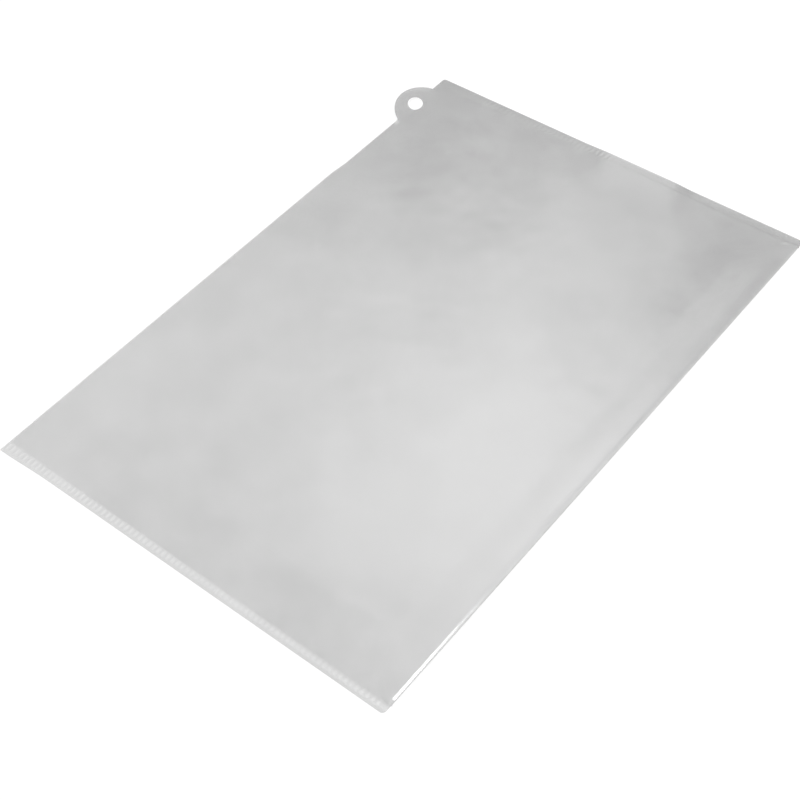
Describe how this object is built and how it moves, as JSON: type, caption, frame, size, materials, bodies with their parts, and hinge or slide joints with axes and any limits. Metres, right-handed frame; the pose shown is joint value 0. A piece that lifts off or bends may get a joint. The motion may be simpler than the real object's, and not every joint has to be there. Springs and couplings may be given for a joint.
{
  "type": "leaflet holder",
  "caption": "Flat clear plastic pocket for leaflets: folded along one side, welded at head and foot, open along the other side, with a punched hanging tab on the open edge.",
  "frame": {"origin": "under the middle of the welded and folded rectangle, on the underside of the back sheet", "axes": "+X from the open mouth to the folded spine, +Y from the foot weld to the head weld, +Z from the back sheet to the front sheet"},
  "size_m": [0.2228, 0.314, 0.0041],
  "materials": {
    "film": "clear glossy film with a faint grey cast",
    "weld": "embossed heat seal, a little milky"
  },
  "bodies": {
    "sleeve": {"back_sheet": "film", "folded_spine": "film", "head_weld": "weld", "foot_weld": "weld"},
    "front": {"front_sheet": "film"},
    "head_corner": {"front_head_corner": "film"},
    "foot_corner": {"front_foot_corner": "film"}
  },
  "joints": [
    {"name": "mouth_lift", "type": "hinge", "parent": "sleeve", "child": "front", "pos_m": [0.1056, 0, 0.0012], "axis": [0, 1, 0], "range_deg": [0, 5], "stiffness_Nm_per_rad": 0.02},
    {"name": "head_corner_lift", "type": "hinge", "parent": "sleeve", "child": "head_corner", "pos_m": [0, 0.1522, 0.0006], "axis": [-1, 0, 0], "range_deg": [0, 12.5]},
    {"name": "foot_corner_lift", "type": "hinge", "parent": "sleeve", "child": "foot_corner", "pos_m": [0, -0.1522, 0.0006], "axis": [1, 0, 0], "range_deg": [0, 12.5]}
  ],
  "couplings": [
    {"joint": "head_corner_lift", "follows": "mouth_lift", "ratio": 2.5},
    {"joint": "foot_corner_lift", "follows": "mouth_lift", "ratio": 2.5}
  ]
}
